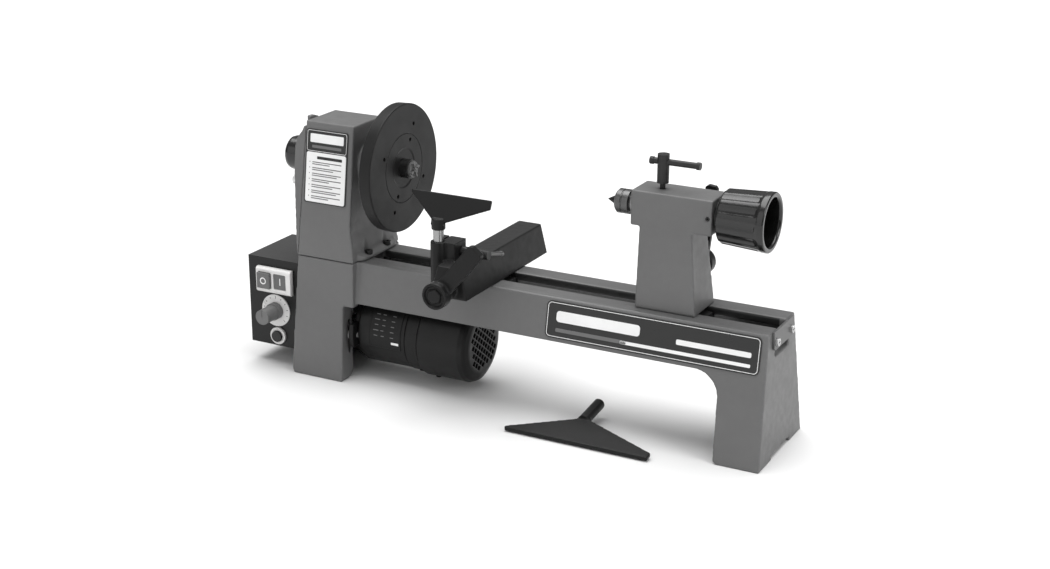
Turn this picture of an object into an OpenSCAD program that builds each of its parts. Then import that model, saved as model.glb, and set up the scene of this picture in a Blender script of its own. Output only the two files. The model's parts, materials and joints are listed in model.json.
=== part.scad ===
// Small variable-speed wood lathe. Millimetres, Z up, X along the bed towards the tailstock.
// The origin is on the bench, at the centre of the four bench bolt holes.
// Distances named "from the left end" start at the left end of the bed's top face.

/* [Bed] */
// Length of the bed's top face
bed_l = 581; // [575:1:600]
// Height of the bed's top face above the bench
bed_h = 145.5; // [144:0.5:147]
// Half width of the bed's top face
rail_half_w = 41; // [40:0.5:42]
// Half width of the right leg on the bench
foot_half_w = 67.7; // [66:0.5:69]
// Width of the slot between the rails
slot_w = 29; // [28:0.5:30]
// Thickness of the rails
rail_t = 10; // [9:0.5:10]
// Depth of the bed beam between the legs
beam_d = 49; // [47:1:50]
// Wall thickness of the castings
wall = 6.5; // [6:0.5:7]
// Half spacing of the bench bolts along the bed
bench_bolt_x = 262.5; // [261:0.5:263]
// Half spacing of the bench bolts across the bed
bench_bolt_y = 46; // [45:0.5:47]
// Radius of the bench bolt holes
bench_bolt_r = 4.5; // [4:0.5:4.5]

/* [Headstock] */
// Height of the spindle above the bed, which is the largest work radius
swing_r = 108.7; // [107:0.5:110]
// Height of the headstock casting above the bed
head_h = 158.2; // [156:0.5:160]
// Half width of the headstock on the bed
head_half_low = 51.7; // [51:0.1:52]
// Half width of the headstock at its top
head_half_high = 30.3; // [30:0.1:31]
// Diameter of the faceplate
faceplate_d = 150; // [145:1:155]
// Thickness of the faceplate
faceplate_t = 16; // [14:0.5:18]
// Distances of the faceplate screw holes from the spindle axis
faceplate_hole_r = [34, 47, 53];
// Radius of the faceplate screw holes
screw_hole_r = 2.4; // [2:0.1:3]

/* [Drive] */
// Height of the motor axis above the bench
motor_z = 56.5; // [56:0.5:57]
// Radius of the motor case
motor_r = 43.5; // [42:0.5:44]
// Radius of the fan cover
fan_cover_r = 47.3; // [46.5:0.1:47.5]
// Working radius of the pulley on the motor
motor_pulley_r = 18; // [17:1:19]
// Working radius of the pulley on the spindle
spindle_pulley_r = 27; // [26:1:28]

/* [Tool rest] */
// Distance of the banjo's centre line from the left end
banjo_x = 231.7; // [231:0.1:232]
// Front and back ends of the banjo
banjo_y = [-101, 96];
// Height of the banjo
banjo_h = 35; // [34:0.5:36]
// Half widths of the banjo at its foot and at its top
banjo_half = [23.2, 14.6];
// Place of the tool rest post from the left end and from the bed's centre line
post_at = [207.5, -78];
// Radius of the tool rest post
post_r = 5.9; // [5.7:0.1:6]
// Height of the tool rest's top edge
rest_z = 253.2; // [252:0.1:256]

/* [Tailstock] */
// Left and right ends of the tailstock's upper block from the left end
tail_x = [412, 505];
// Half width of the upper block
tail_half = 21.5; // [21:0.5:22]
// Radius of the quill
quill_r = 12; // [11.5:0.1:12]
// Place of the clamp shaft from the left end, and its height above the bed
tail_cam = [469, 37.5];

/* [Control box] */
// Length of the control box along the bed
box_l = 76; // [74:1:78]
// Half width of the control box
box_half = 46; // [45:0.5:47]
// Heights of the control box's floor and roof
box_z = [22.6, 132.6];

/* [Hidden] */
$fn = 64;

fit = 0.05;                       // running clearance on a radius
seat = 0.1;                       // gap between parts that only sit on each other
eps = 0.5;                        // overshoot of a cut past a face
spindle_z = bed_h + swing_r;
head_top = bed_h + head_h;
beam_z = bed_h - beam_d;
rail_low = bed_h - rail_t;
leg_foot_x = bed_l + 6;           // right leg on the bench, with its casting draft
leg_inner_x = 534.2;
arch_r = 28.5;
arch_c = [503.2, beam_z - arch_r];
column_x = [-7, 63.5];            // left column on the bench
column_half = [62.5, head_half_low];
side_draft = (foot_half_w - rail_half_w) / bed_h;
end_draft = atan((leg_foot_x - bed_l) / bed_h);
banjo_cam_z = 157;
clamp_z = 126.6;                  // underside of the clamp plates
rest_lean = 12;
rest_drop = 27.6;
tail_cam_z = bed_h + tail_cam[1];
faceplate_x = 117;                // front of the faceplate
face_hole_angle = [65, 155, 65];  // direction of each ring of faceplate holes
column_in = 57;                   // inner face of the left column's flanges
column_chamfer = 4;
lug_h = 12;                       // bench bolt lugs inside the legs
foot_at = [[24, 54], [572, 29]];  // rubber feet, from the left end and the centre line
foot_r = 3.9;
toe_bolt = [79, 20];              // bolts that hold the headstock's toe
hidden_bolt = [26, 38.7];         // bolts up into the headstock from below
cover_x = -10.2;                  // outermost face of the belt cover
cover_h = [1.5, 151.5];           // lower and upper edge of the belt cover above the bed
cover_gap = 0.1;                  // the cover is this much narrower than the headstock
cover_knob_z = 232;
box_t = 1.6;                      // sheet thickness of the control box
box_screw_y = 39;
box_screw_z = [46, 108];
switch_x = [-61, -12];
switch_z = [91, 122];
button_z = [switch_z[0] + 6, switch_z[1] - 6];
stop_x = [-57.5, -40];
start_x = [-36.5, -19];
button_gap = 0.15;
dial_at = [-38, 68];
reset_at = [-36, 36];
mt_r = 6.03;                      // radius of a No. 1 Morse taper at its mouth
mt_slope = 0.0249;
nose_x = 127;                     // end of the spindle nose
nose_r = 11;
shaft_r = 10;
belt_x = [12, 28];                // faces of both pulleys
motor_x = [74, 139, 157, 217, 221];   // case, mid ring, fan cover and its rounded end
motor_bolt = [41, 54.5];          // across the bed, and above the bench
motor_shaft_r = 6;
grille_pitch = 7;
grille_hole = 5.4;
lock_y = post_at[1] + 16;         // the screw that locks the tool rest post
lock_z = 189;
lock_bar_x = 255;
wheel_x = [510.5, 565];           // the tailstock handwheel, which flares to the right
wheel_r = [29.6, 32.7];
screw_r = 6;                      // leadscrew
quill_x = [407, 501];
quill_lock_x = 439.5;
quill_bar_z = 304;
paint = "dimgray";
dark = "#303030";
steel = "silver";

// Half width of the headstock at height z
function head_half(z) = head_half_low - (head_half_low - head_half_high) * (z - bed_h) / head_h;

// Belt cover screws go into bosses on the headstock's rim
cover_screw_in = 7.5;
cover_knob_y = -(head_half(cover_knob_z) - cover_screw_in);
cover_knob_seat = -8.6;
// y, z and the depth x at which each cover screw's head sits
cover_screw_at = [for (place = [[278, -4.8], [200, -3.2]], side = [-1, 1])
    [side * (head_half(place[0]) - cover_screw_in), place[0], place[1]]];

// ---- shared shapes ----

// Places children by their distance from the left end of the bed
module from_left() {
    translate([-bed_l / 2, 0, 0]) children();
}

// An outline drawn in X and Z, given a depth from y0 to y1
module along_y(y0, y1) {
    translate([0, y1, 0]) rotate([90, 0, 0]) linear_extrude(y1 - y0) children();
}

// An outline drawn in Y and Z, given a length from x0 to x1
module along_x(x0, x1) {
    translate([x0, 0, 0]) rotate([90, 0, 90]) linear_extrude(x1 - x0) children();
}

module rod_x(r, x0, x1, y = 0, z = 0) {
    translate([x0, y, z]) rotate([0, 90, 0]) cylinder(r = r, h = x1 - x0);
}

module rod_y(r, y0, y1, x = 0, z = 0) {
    translate([x, y0, z]) rotate([-90, 0, 0]) cylinder(r = r, h = y1 - y0);
}

module rod_z(r, z0, z1, x = 0, y = 0) {
    translate([x, y, z0]) cylinder(r = r, h = z1 - z0);
}

module cone_x(r0, r1, x0, x1, y = 0, z = 0) {
    translate([x0, y, z]) rotate([0, 90, 0]) cylinder(r1 = r0, r2 = r1, h = x1 - x0);
}

module block(x, y, z) {
    translate([x[0], y[0], z[0]]) cube([x[1] - x[0], y[1] - y[0], z[1] - z[0]]);
}

// A symmetric outline that narrows from its foot to its top
module taper(half_low, half_high, z_low, z_high) {
    polygon([[-half_low, z_low], [half_low, z_low], [half_high, z_high], [-half_high, z_high]]);
}

module both_sides() {
    children();
    mirror([0, 1, 0]) children();
}

// A ring turned about the X axis at the spindle or motor height
module ring_x(r_out, r_in, x0, x1, z) {
    difference() {
        rod_x(r_out, x0, x1, 0, z);
        rod_x(r_in, x0 - eps, x1 + eps, 0, z);
    }
}

// A profile of [x, radius] points turned about the X axis
module turned_x(points, z) {
    translate([0, 0, z]) rotate([0, 90, 0]) rotate([0, 0, 90])
        rotate_extrude() polygon([for (p = points) [p[1], p[0]]]);
}

// A ball race of one piece with both rings, open in the middle
module race(r_out, r_in, x0, x1, z) {
    difference() {
        ring_x(r_out, r_in, x0, x1, z);
        for (side = [x0 - eps, x1 - 1])
            ring_x(r_out - 4, r_in + 4, side, side + 1 + eps, z);
    }
}

// A pan head screw along +X, with its head's seat at x = 0
module pan_screw(length) {
    difference() {
        rod_x(4.2, seat, 2.8);
        block([1.6, 3.2], [-3, 3], [-0.6, 0.6]);
        block([1.6, 3.2], [-0.6, 0.6], [-3, 3]);
    }
    rod_x(2.15, -length, seat + 0.01);
}

// The end face of the right leg, with +X pointing out of the sloping face
module end_face() {
    translate([bed_l, 0, bed_h]) rotate([0, -end_draft, 0]) children();
}

// ---- bed ----

module bed_outline() {
    difference() {
        polygon([[column_in, 0], [leg_foot_x, 0], [bed_l, bed_h], [column_in, bed_h]]);
        polygon([[column_in - 1, -1], [leg_inner_x, -1], [leg_inner_x - 2.5, arch_c[1]], arch_c,
            [arch_c[0], beam_z], [column_in - 1, beam_z]]);
        translate(arch_c) circle(arch_r);
        polygon([[leg_inner_x - 1, 3], [leg_inner_x + 3, -0.1], [leg_inner_x - 2, -2]]);
    }
}

// Hollow of the beam and the right leg, seen from the front
module bed_hollow_outline() {
    difference() {
        polygon([[68, -1], [leg_foot_x - wall - 1.5, -1], [bed_l - wall - 1.5, rail_low], [68, rail_low]]);
        intersection() {
            union() {
                translate(arch_c) circle(arch_r + wall);
                translate([arch_c[0], -2]) square([arch_r + wall + 1, arch_c[1] + 2]);
            }
            translate([arch_c[0], -2]) square([100, 200]);
        }
    }
}

module column_outline() {
    polygon([[column_x[0], column_chamfer], [column_x[0] + 3, 0], [column_x[1], 0],
        [column_x[1], beam_z - 4], [78, beam_z - 4], [76.2, bed_h], [0, bed_h]]);
}

// Position along the bed of the left column's outer face at height z
function column_face(z) = column_x[0] * (bed_h - z) / (bed_h - column_chamfer);

module column_hollow() {
    intersection() {
        along_y(-80, 80) polygon([[column_face(-1) + wall, -1], [column_in, -1],
            [column_in, rail_low], [column_face(rail_low) + wall, rail_low]]);
        along_x(-20, 90) taper(column_half[0] - wall, column_half[1] - wall, 0, bed_h);
    }
}

// Round-cornered opening between the two flanges of the left column
module flange_opening() {
    translate([-36, -1]) square([72, 112]);
    difference() {
        translate([-46, -1]) square([92, 11]);
        for (side = [-1, 1]) translate([side * 46, 10]) circle(10);
    }
}

// Solid corners inside the legs for the bench bolts and the rubber feet
module bench_lugs() {
    both_sides() {
        intersection() {
            block([-6, column_in + 1], [34, 70], [0, lug_h]);
            along_y(-80, 80) column_outline();
            along_x(-20, 90) taper(column_half[0], column_half[1], 0, bed_h);
        }
        intersection() {
            block([leg_inner_x + 2, 590], [22, 70], [0, lug_h]);
            along_y(-80, 80) bed_outline();
            along_x(400, 600) taper(foot_half_w, rail_half_w, 0, bed_h);
        }
    }
}

module bed_casting() {
    from_left() color(paint) difference() {
        union() {
            difference() {
                union() {
                    intersection() {
                        along_y(-80, 80) bed_outline();
                        along_x(30, 600) taper(foot_half_w, rail_half_w, 0, bed_h);
                    }
                    intersection() {
                        along_y(-80, 80) column_outline();
                        along_x(-20, 90) taper(column_half[0], column_half[1], 0, bed_h);
                    }
                }
                intersection() {
                    along_y(-80, 80) bed_hollow_outline();
                    along_x(30, 600) taper(foot_half_w - wall, rail_half_w - wall, 0, bed_h);
                }
                column_hollow();
            }
            bench_lugs();
        }
        // openings for the motor, the belt and the control box cable
        along_x(50, 92) flange_opening();
        block([8, 44], [-32, 32], [rail_low - eps, bed_h + eps]);
        block([-20, 8], [-32, 32], [36, 116]);
        both_sides() motor_bolt_slot();
        // slot between the rails, open at the right end below the end plate
        block([78, 600], [-slot_w / 2, slot_w / 2], [122, bed_h + eps]);
        block([560, 600], [-21, 22], [115, 122.2]);
        // relief between the two pads of the right leg
        block([525, 600], [-28, 28], [-1, 4]);
        for (side = [-1, 1])
            both_sides() rod_z(bench_bolt_r, -1, lug_h + 1, bed_l / 2 + side * bench_bolt_x, bench_bolt_y);
        for (p = foot_at) both_sides() rod_z(foot_r + seat, -1, 5, p[0], p[1]);
        // holes for the headstock bolts, the end plate and the control box
        both_sides() rod_z(2.7, rail_low - eps, bed_h + eps, toe_bolt[0], toe_bolt[1]);
        both_sides() rod_z(4.2, rail_low - eps, bed_h + eps, hidden_bolt[0], hidden_bolt[1]);
        end_face() both_sides() rod_x(2.25, -12, 1, 22.5, -13);
        for (z = box_screw_z) both_sides() rod_x(2.4, -12, 8, box_screw_y, z);
    }
}

// Upright slot in the flange, in which the motor's bolt slides to tension the belt
module motor_bolt_slot() {
    half = 3.4;
    block([50, 70], [motor_bolt[0] - half, motor_bolt[0] + half], [34, 70]);
    for (z = [34, 70]) rod_x(half, 50, 70, motor_bolt[0], z);
}

module bed_end_plate() {
    from_left() color(dark) end_face() difference() {
        intersection() {
            block([seat, 2.6], [-30, 30], [-21, -0.3]);
            along_x(0, 3) polygon([[-30, 0], [30, 0], [30, -18], [27, -21], [-27, -21], [-30, -18]]);
        }
        both_sides() rod_x(2.4, -1, 4, 22.5, -13);
    }
}

module cover_screws() {
    from_left() color(steel) {
        both_sides() end_face() translate([2.6, 22.5, -13]) pan_screw(9);
        for (z = box_screw_z)
            both_sides() translate([column_face(z) + wall + 0.3, box_screw_y, z]) pan_screw(11);
        for (p = cover_screw_at)
            translate([p[2], p[0], p[1]]) mirror([1, 0, 0]) pan_screw(10.5 - p[2]);
        // thumb screw that opens the cover
        rod_x(2.15, cover_x - 1, 10.5, cover_knob_y, cover_knob_z);
        rod_x(5.6, cover_x - 3, cover_knob_seat - seat, cover_knob_y, cover_knob_z);
    }
}

module rubber_feet() {
    from_left() color(dark) {
        for (p = foot_at) both_sides() rod_z(foot_r, 0, 4.8, p[0], p[1]);
    }
}

// A plate on the sloping front of the bed: x and height down the slope, on the face
module bed_front() {
    translate([0, -rail_half_w, bed_h]) rotate([90 - atan(side_draft), 0, 0]) children();
}

module bed_label() {
    from_left() color("#1c1c1c") bed_front() translate([325, -45, seat]) linear_extrude(0.8)
        rounded_plate(250, 41.5, 6);
}

module rounded_plate(w, h, r) {
    translate([r, 0]) square([w - 2 * r, h]);
    translate([0, r]) square([w, h - 2 * r]);
    for (x = [r, w - r], y = [r, h - r]) translate([x, y]) circle(r);
}

// ---- headstock ----

module head_outline() {
    polygon([[0, bed_h], [76.4, bed_h], [75.4, bed_h + 10], [73.6, bed_h + 22], [71.2, bed_h + 34],
        [70, bed_h + 46], [69.4, head_top], [4.5, head_top]]);
}

module headstock_casting() {
    from_left() color(paint) difference() {
        union() {
            intersection() {
                difference() {
                    along_y(-60, 60) head_outline();
                    intersection() {
                        along_y(-60, 60) polygon([[-20, bed_h + 12], [61, bed_h + 12],
                            [62, head_top - wall], [-20, head_top - wall]]);
                        along_x(-30, 90)
                            taper(head_half_low - wall, head_half_high - wall, bed_h, head_top);
                    }
                }
                along_x(-30, 100) taper(head_half_low, head_half_high, bed_h, head_top);
            }
            // toe on the bed with a hollow sweep up to the wall
            difference() {
                translate([50, -rail_half_w, bed_h]) linear_extrude(21)
                    rounded_plate(34, 2 * rail_half_w, 12);
                rod_y(18, -60, 60, 88, bed_h + 22);
            }
            // wall that carries the rear bearing, and the front bearing's boss
            intersection() {
                block([37, 49], [-60, 60], [bed_h + 12, head_top - 2]);
                along_x(-30, 100) taper(head_half_low - 2, head_half_high - 2, bed_h, head_top);
            }
            rod_x(26, 55, 75, 0, spindle_z);
            // bosses for the belt cover's screws
            intersection() {
                union() {
                    for (p = cover_screw_at) rod_x(5.5, 4.3, 11.5, p[0], p[1]);
                    rod_x(5.5, 4.3, 11.5, cover_knob_y, cover_knob_z);
                }
                along_x(-30, 100) taper(head_half_low, head_half_high, bed_h, head_top);
            }
        }
        block([-5, 100], [-60, 60], [bed_h - 5, bed_h + seat]);
        // belt path and bearing seats
        block([-10, 36.5], [-33, 33], [bed_h - 1, bed_h + 13]);
        rod_x(21 + fit, 37 - eps, 49 - 2, 0, spindle_z);
        rod_x(17, 37 - eps, 49 + eps, 0, spindle_z);
        rod_x(21 + fit, 63, 75 + eps, 0, spindle_z);
        rod_x(17, 54, 76, 0, spindle_z);
        // bolts down through the toe and up from below
        both_sides() rod_z(2.7, bed_h - 1, bed_h + 22, toe_bolt[0], toe_bolt[1]);
        both_sides() rod_z(5.6, bed_h + 5, bed_h + 30, toe_bolt[0], toe_bolt[1]);
        both_sides() rod_z(4.1, bed_h - 1, bed_h + 10, hidden_bolt[0], hidden_bolt[1]);
        for (p = cover_screw_at) rod_x(2.2, -1, 13, p[0], p[1]);
        rod_x(2.2, -1, 13, cover_knob_y, cover_knob_z);
    }
}

module headstock_bolts() {
    from_left() color(steel) {
        both_sides() difference() {
            union() {
                rod_z(4.4, bed_h + 5.1, bed_h + 9.6, toe_bolt[0], toe_bolt[1]);
                rod_z(2.5, rail_low - 8, bed_h + 5.2, toe_bolt[0], toe_bolt[1]);
                rod_z(4.6, rail_low - 5, rail_low - seat, toe_bolt[0], toe_bolt[1]);
            }
            translate([toe_bolt[0], toe_bolt[1], bed_h + 7.6]) cylinder(r = 2.3, h = 3, $fn = 6);
        }
        both_sides() {
            rod_z(4, rail_low - 1, bed_h + 9.5, hidden_bolt[0], hidden_bolt[1]);
            translate([hidden_bolt[0], hidden_bolt[1], rail_low - 5.6])
                cylinder(r = 6.4, h = 5.5, $fn = 6);
        }
    }
}

// The headstock's front face: x, then distance down from the top along the slope
module head_front() {
    lean = atan((head_half_low - head_half_high) / head_h);
    translate([0, -head_half_high, head_top]) rotate([90 - lean, 0, 0]) children();
}

module headstock_label() {
    from_left() color("#d8d8d8") head_front() translate([6, -94.5, seat]) linear_extrude(0.8)
        rounded_plate(57, 86, 3);
}

// The belt cover seen from the front: it swells towards the spindle
module cover_outline() {
    low = bed_h + cover_h[0];
    high = bed_h + cover_h[1];
    polygon([[12, low], [-1.2, low], [-4.4, bed_h + 28.5], [-7.3, bed_h + 63.5],
        [-9.8, bed_h + 94.5], [cover_x, bed_h + 102.5], [cover_x, bed_h + 126.5],
        [-7.7, bed_h + 137.5], [-1.8, bed_h + 145.2], [1.2, high], [12, high]]);
}

// The hollow inside it, with a wall t thick
module cover_hollow(t) {
    polygon([[12, bed_h + 18], [-0.6, bed_h + 18], [t - 4.4, bed_h + 28.5],
        [t - 7.3, bed_h + 63.5], [t - 9.8, bed_h + 94.5], [cover_x + t, bed_h + 102.5],
        [cover_x + t, bed_h + 126], [t - 7.7, bed_h + 136], [t - 1.8, bed_h + 142.7],
        [12, bed_h + 142.7]]);
}

module belt_cover() {
    t = 2.5;
    low = bed_h + cover_h[0];
    high = bed_h + cover_h[1];
    half = [head_half(low) - cover_gap, head_half(high) - cover_gap];
    // catch on the cover's top edge
    from_left() color(paint) along_x(-3, 2) polygon([[-18, high - 8], [-18, head_top + 1.8],
        [-16.5, head_top + 2.8], [-10, head_top + 2.4], [-1, head_top - 0.6], [0, high - 8]]);
    from_left() color(paint) difference() {
        intersection() {
            union() {
                difference() {
                    along_y(-60, 60) cover_outline();
                    intersection() {
                        along_y(-60, 60) cover_hollow(t);
                        along_x(-30, 30) taper(half[0] - t, half[1] - t, low, high);
                    }
                }
                // bosses for the screws
                for (p = cover_screw_at) rod_x(7, cover_x, 12, p[0], p[1]);
                rod_x(8, cover_x, 12, cover_knob_y, cover_knob_z);
            }
            along_y(-60, 60) cover_outline();
            along_x(-30, 30) taper(half[0], half[1], low, high);
            // the right edge follows the headstock's sloping left face
            along_y(-60, 60) polygon([[-30, bed_h], [-seat, bed_h], [4.5 - seat, head_top],
                [-30, head_top]]);
        }
        rod_x(14, -40, 20, 0, spindle_z);
        for (p = cover_screw_at) {
            rod_x(2.5, -14, 10, p[0], p[1]);
            rod_x(4.7, -14, p[2], p[0], p[1]);
        }
        rod_x(2.5, -14, 10, cover_knob_y, cover_knob_z);
        rod_x(6.2, -14, cover_knob_seat, cover_knob_y, cover_knob_z);
    }
}

// ---- control box and switches ----

// The box seen from the front, drawn t inside its sheet; its right side is open
module box_outline(t, reach) {
    polygon([[-box_l + t, box_z[0] + t], [column_face(box_z[0]) + reach, box_z[0] + t],
        [column_face(box_z[1]) + reach, box_z[1] - t], [-box_l + t, box_z[1] - t]]);
}

module control_box() {
    lip = 4;
    from_left() color("#262626") difference() {
        union() {
            difference() {
                along_y(-box_half, box_half) box_outline(0, -seat);
                along_y(-box_half + box_t, box_half - box_t) box_outline(box_t, 2);
            }
            // two lips inside, held by screws through the column's wall
            both_sides() difference() {
                along_y(33, box_half - 1) box_outline(1, -seat);
                along_y(30, box_half) box_outline(-1, -seat - lip);
            }
        }
        for (z = box_screw_z) both_sides() rod_x(2.2, -14, 0, box_screw_y, z);
        block([switch_x[0] + 2, switch_x[1] - 2], [-60, -40], [switch_z[0] + 4, switch_z[1] - 4]);
        rod_y(3.6, -60, -40, dial_at[0], dial_at[1]);
        rod_y(5.6, -60, -40, reset_at[0], reset_at[1]);
    }
}

module switch_bezel() {
    face = -box_half - 7;
    from_left() color("#d9d9d4") difference() {
        union() {
            intersection() {
                block(switch_x, [face, -box_half - seat], switch_z);
                along_x(-70, 0) polygon([[face, switch_z[0] + 2], [face, switch_z[1] - 2],
                    [face + 2, switch_z[1]], [-box_half, switch_z[1]], [-box_half, switch_z[0]],
                    [face + 2, switch_z[0]]]);
            }
            block([switch_x[0] + 2.2, switch_x[1] - 2.2], [-box_half - 1, -box_half + 20],
                [switch_z[0] + 4.2, switch_z[1] - 4.2]);
        }
        for (x = [stop_x, start_x])
            block([x[0] - button_gap, x[1] + button_gap], [-60, -box_half + 16],
                [button_z[0] - button_gap, button_z[1] + button_gap]);
    }
}

// Switch buttons; the mark on each is a shallow ring or bar
module stop_button() {
    face = -box_half - 10.5;
    mark = [(stop_x[0] + stop_x[1]) / 2, (button_z[0] + button_z[1]) / 2];
    from_left() color("#6e6e6e") difference() {
        block(stop_x, [face, -box_half + 9], button_z);
        difference() {
            rod_y(4.4, face - eps, face + eps, mark[0], mark[1]);
            rod_y(2.8, face - 1, face + 1, mark[0], mark[1]);
        }
    }
}

module start_button() {
    face = -box_half - 5.5;
    middle = (start_x[0] + start_x[1]) / 2;
    from_left() color("#707070") difference() {
        block(start_x, [face, -box_half + 9], button_z);
        block([middle - 0.7, middle + 0.7], [face - eps, face + eps], [102, 111]);
    }
}

module speed_dial() {
    from_left() color("#c9c9c6") difference() {
        rod_y(20, -box_half - 1.4, -box_half - seat, dial_at[0], dial_at[1]);
        rod_y(4.2, -box_half - 2, -box_half + 1, dial_at[0], dial_at[1]);
        // pointer mark beside the knob
        along_y(-box_half - 1.5, -box_half - 1) polygon([[-55, 77], [-47.5, 79.5], [-51, 71]]);
    }
}

module speed_knob() {
    from_left() color("#6a6a6a") translate([dial_at[0], 0, dial_at[1]]) difference() {
        union() {
            rod_y(10.5, -box_half - 9, -box_half - 1.7);
            rod_y(9.2, -box_half - 30, -box_half - 8);
            rod_y(3, -box_half - 10, -box_half + 12);
        }
        block([-0.5, 0.5], [-box_half - 31, -box_half - 29.4], [0, 10]);
    }
}

module reset_collar() {
    from_left() color("#d2d2d2") difference() {
        union() {
            rod_y(10.6, -box_half - 3, -box_half - seat, reset_at[0], reset_at[1]);
            rod_y(5.5, -box_half - 1, -box_half + 14, reset_at[0], reset_at[1]);
        }
        rod_y(7.4, -box_half - 4, -box_half - 1.2, reset_at[0], reset_at[1]);
        rod_y(3.6, -box_half - 4, -box_half + 15, reset_at[0], reset_at[1]);
    }
}

module reset_button() {
    from_left() color("#161616") {
        rod_y(6.8, -box_half - 6, -box_half - 3.4, reset_at[0], reset_at[1]);
        rod_y(3.5, -box_half - 3.5, -box_half + 12, reset_at[0], reset_at[1]);
    }
}

module speed_circuit_board() {
    from_left() color("darkgreen") {
        block([-70, -14], [20, 21.6], [28, 110]);
        block([-60, -30], [4, 20.01], [70, 100]);
        block([-56, -44], [10, 20.01], [34, 56]);
        for (x = [-70, -18]) block([x, x + 4], [21.59, box_half - box_t - seat], [50, 54]);
    }
}

// ---- spindle ----

module spindle_shaft() {
    from_left() color(steel) difference() {
        union() {
            rod_x(shaft_r, -36, 80, 0, spindle_z);
            rod_x(15, 75.2, 84, 0, spindle_z);
            rod_x(nose_r, 83, nose_x, 0, spindle_z);
        }
        cone_x(mt_r - 40 * mt_slope, mt_r + 0.03, nose_x - 40, nose_x + 0.01, 0, spindle_z);
        rod_x(4, -40, nose_x - 30, 0, spindle_z);
    }
}

module spindle_bearings() {
    from_left() color(steel) {
        race(21, shaft_r + fit, 37, 46.8, spindle_z);
        race(21, shaft_r + fit, 63.2, 75, spindle_z);
    }
}

module pulley(r, bore, x0, x1, z) {
    from_left() color(steel) difference() {
        union() {
            ring_x(r - 0.3, bore, x0, x1, z);
            for (x = [x0, x1 - 2]) ring_x(r + 2.6, bore, x, x + 2, z);
        }
        for (i = [0:3])
            ring_x(r + 0.2, r - 1.3, x0 + 3.6 + i * 2.8, x0 + 4.8 + i * 2.8, z);
    }
}

module spindle_pulley() {
    pulley(spindle_pulley_r, shaft_r + fit, belt_x[0], belt_x[1], spindle_z);
}

module motor_pulley() {
    pulley(motor_pulley_r, motor_shaft_r + fit, belt_x[0], belt_x[1], motor_z);
}

module drive_belt() {
    span = spindle_z - motor_z;
    side = asin((spindle_pulley_r - motor_pulley_r) / span);
    from_left() color("#141414") along_x(belt_x[0] + 3, belt_x[1] - 3) difference() {
        belt_loop(2.3, span, side);
        belt_loop(seat, span, side);
    }
}

// The outline around both pulleys, grown outwards from their working radii
module belt_loop(grow, span, side) {
    low = motor_pulley_r + grow;
    high = spindle_pulley_r + grow;
    translate([0, motor_z]) circle(low);
    translate([0, spindle_z]) circle(high);
    polygon([[low * cos(side), motor_z - low * sin(side)],
        [high * cos(side), spindle_z - high * sin(side)],
        [-high * cos(side), spindle_z - high * sin(side)],
        [-low * cos(side), motor_z - low * sin(side)]]);
}

module spindle_handwheel() {
    from_left() color("#1a1a1a") difference() {
        turned_x([[-38, 0], [-38, 16], [-35.5, 19.2], [-32, 20.3], [-20, 20.3], [-16, 19], [-16, 12.5],
            [-4, 12.5], [-4, 0]], spindle_z);
        rod_x(shaft_r + fit, -39, 0, 0, spindle_z);
    }
}

module faceplate() {
    r = faceplate_d / 2;
    from_left() color("#3a3a3a") difference() {
        turned_x([[faceplate_x - 32.5, 0], [faceplate_x - 32.5, 20], [faceplate_x - 14, 21],
            [faceplate_x - faceplate_t + 3, 26], [faceplate_x - faceplate_t + 3, r - 6],
            [faceplate_x - faceplate_t, r - 5], [faceplate_x - faceplate_t, r - 3],
            [faceplate_x - faceplate_t + 2, r - 0.6], [faceplate_x - 1.4, r],
            [faceplate_x - 0.4, r - 0.4], [faceplate_x, r - 1.4],
            [faceplate_x, 40.8], [faceplate_x - 0.6, 40.2], [faceplate_x, 39.6],
            [faceplate_x, 24], [faceplate_x - 0.8, 22], [faceplate_x - 0.8, 0]], spindle_z);
        rod_x(nose_r + fit, faceplate_x - 40, faceplate_x + 5, 0, spindle_z);
        for (i = [0:2], turn = [0, 180])
            faceplate_hole(faceplate_hole_r[i], face_hole_angle[i] + turn);
    }
}

module faceplate_hole(r, angle) {
    rod_x(screw_hole_r, faceplate_x - 30, faceplate_x + 5, r * cos(angle), spindle_z + r * sin(angle));
}

module drive_centre() {
    from_left() color(steel) difference() {
        union() {
            cone_x(mt_r - 28 * mt_slope - 0.04, mt_r - 0.04, nose_x - 28, nose_x, 0, spindle_z);
            rod_x(9.4, nose_x + seat, nose_x + 3, 0, spindle_z);
            rod_x(mt_r - 0.1, nose_x - 1, nose_x + 1, 0, spindle_z);
            // four prongs and the point
            for (turn = [20, 110])
                translate([nose_x + 2, 0, spindle_z]) rotate([turn, 0, 0])
                    block([0, 3.6], [-9, 9], [-1.1, 1.1]);
            cone_x(2.6, 0.3, nose_x + 2, nose_x + 8, 0, spindle_z);
        }
        ring_x(4.6, 3.4, nose_x + 3, nose_x + 9, spindle_z);
    }
}

// ---- motor ----

module motor_case() {
    from_left() color("#1e1e1e") difference() {
        turned_x([[motor_x[0] + seat, 0], [motor_x[0] + seat, motor_r - 3],
            [motor_x[0] + 3, motor_r], [motor_x[1] - seat, motor_r], [motor_x[1] - seat, 0]], motor_z);
        rod_x(motor_r - 4, motor_x[0] + 3, motor_x[1] + 1, 0, motor_z);
        rod_x(14, motor_x[0] - 1, motor_x[0] + 5, 0, motor_z);
    }
}

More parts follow.
